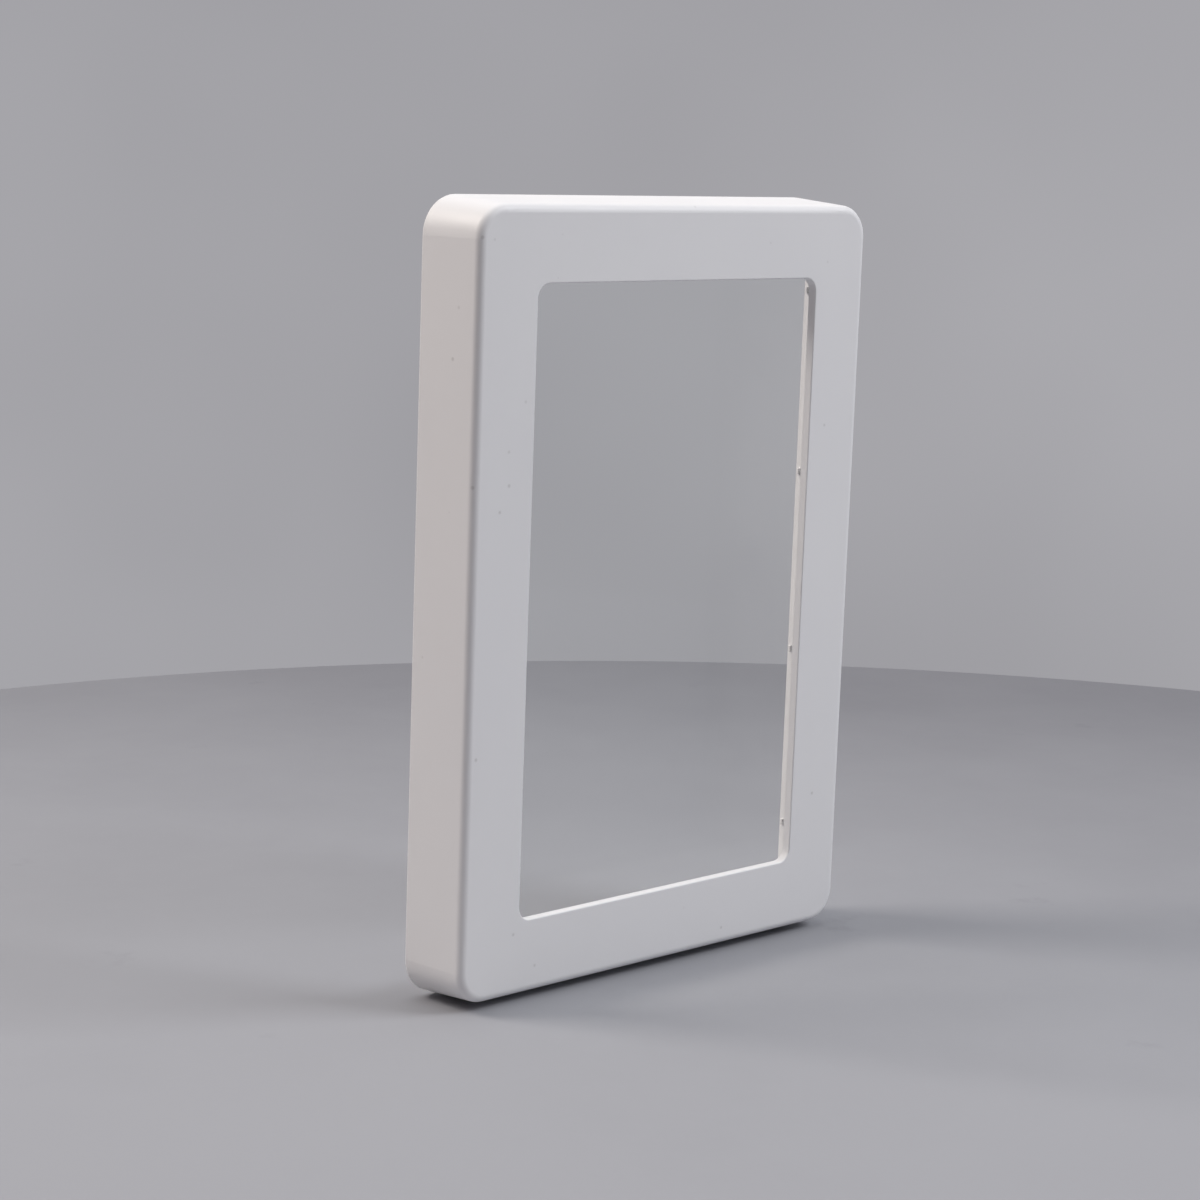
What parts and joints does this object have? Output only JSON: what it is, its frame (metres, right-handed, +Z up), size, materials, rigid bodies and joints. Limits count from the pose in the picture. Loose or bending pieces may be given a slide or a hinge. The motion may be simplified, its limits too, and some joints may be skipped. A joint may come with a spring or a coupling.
{
  "type": "digital photo frame",
  "caption": "Portrait digital photo frame with a see-through display window, white flared shell, rear controls, wall keyholes and a swing-out prop foot.",
  "frame": {"origin": "under the middle of the frame, on the surface that it stands on", "axes": "+X to the right seen from the front, +Y towards the back, +Z up"},
  "size_m": [0.1513, 0.0216, 0.2172],
  "materials": {
    "white_shell": "satin moulded white plastic",
    "white_cover": "fine-textured white plastic",
    "display_glass": "polished clear glass",
    "clear_acrylic": "polished clear acrylic",
    "gasket_foam": "soft pale foam",
    "bright_steel": "plain pressed sheet",
    "screw_steel": "zinc plated",
    "inlet_steel": "drawn sheet",
    "amber_film": "polyimide film",
    "board_green": "solder resist",
    "connector_ivory": "moulded nylon",
    "chip_black": "moulded epoxy",
    "card_black": "moulded card",
    "light_clear": "clear polycarbonate",
    "speaker_black": "moulded frame and cone",
    "battery_wrap": "heat-shrunk wrap",
    "foot_rubber": "moulded rubber",
    "button_grey": "satin plastic",
    "lead_red": "soft insulation",
    "lead_black": "soft insulation",
    "lead_grey": "soft insulation"
  },
  "bodies": {
    "frame": {"antenna_lead": "lead_grey", "back_panel": "clear_acrylic", "battery_lead_black": "lead_black", "battery_lead_red": "lead_red", "battery_pack": "battery_wrap", "battery_pads": "gasket_foam", "board_screws": "screw_steel", "bottom_cover": "white_cover", "card_socket": "inlet_steel", "clip_screws": "screw_steel", "cover_screws": "screw_steel", "display_gasket": "gasket_foam", "display_panel": "display_glass", "display_ribbon": "amber_film", "foot_pin": "screw_steel", "front_shell": "white_shell", "keyhole_plates": "bright_steel", "lead_connector": "connector_ivory", "light_pipe": "light_clear", "main_board": "board_green", "memory_chips": "chip_black", "panel_clips": "bright_steel", "power_parts": "chip_black", "processor": "chip_black", "processor_shield": "bright_steel", "ribbon_connector": "connector_ivory", "rubber_feet": "foot_rubber", "speaker_left": "speaker_black", "speaker_right": "speaker_black", "status_light": "light_clear", "tact_switches": "chip_black", "top_cover": "white_cover", "usb_c_socket": "inlet_steel", "wifi_antenna": "amber_film"},
    "card": {"memory_card": "card_black"},
    "prop": {"prop_foot": "white_cover"},
    "power": {"power_button": "button_grey"},
    "menu": {"menu_button": "button_grey"},
    "previous": {"previous_button": "button_grey"},
    "next": {"next_button": "button_grey"}
  },
  "joints": [
    {"name": "card_slide", "type": "slide", "parent": "frame", "child": "card", "axis": [0, 1, 0], "range_m": [0, 0.014]},
    {"name": "prop_swing", "type": "hinge", "parent": "frame", "child": "prop", "pos_m": [-0.0272, 0.00875, 0.002], "axis": [0, 0, 1], "range_deg": [0, 90]},
    {"name": "power_press", "type": "slide", "parent": "frame", "child": "power", "axis": [0, -1, 0], "range_m": [0, 0.0005], "stiffness_N_per_m": 300, "springref_m": -0.0015},
    {"name": "menu_press", "type": "slide", "parent": "frame", "child": "menu", "axis": [0, -1, 0], "range_m": [0, 0.0005], "stiffness_N_per_m": 300, "springref_m": -0.0015},
    {"name": "previous_press", "type": "slide", "parent": "frame", "child": "previous", "axis": [0, -1, 0], "range_m": [0, 0.0005], "stiffness_N_per_m": 300, "springref_m": -0.0015},
    {"name": "next_press", "type": "slide", "parent": "frame", "child": "next", "axis": [0, -1, 0], "range_m": [0, 0.0005], "stiffness_N_per_m": 300, "springref_m": -0.0015}
  ]
}
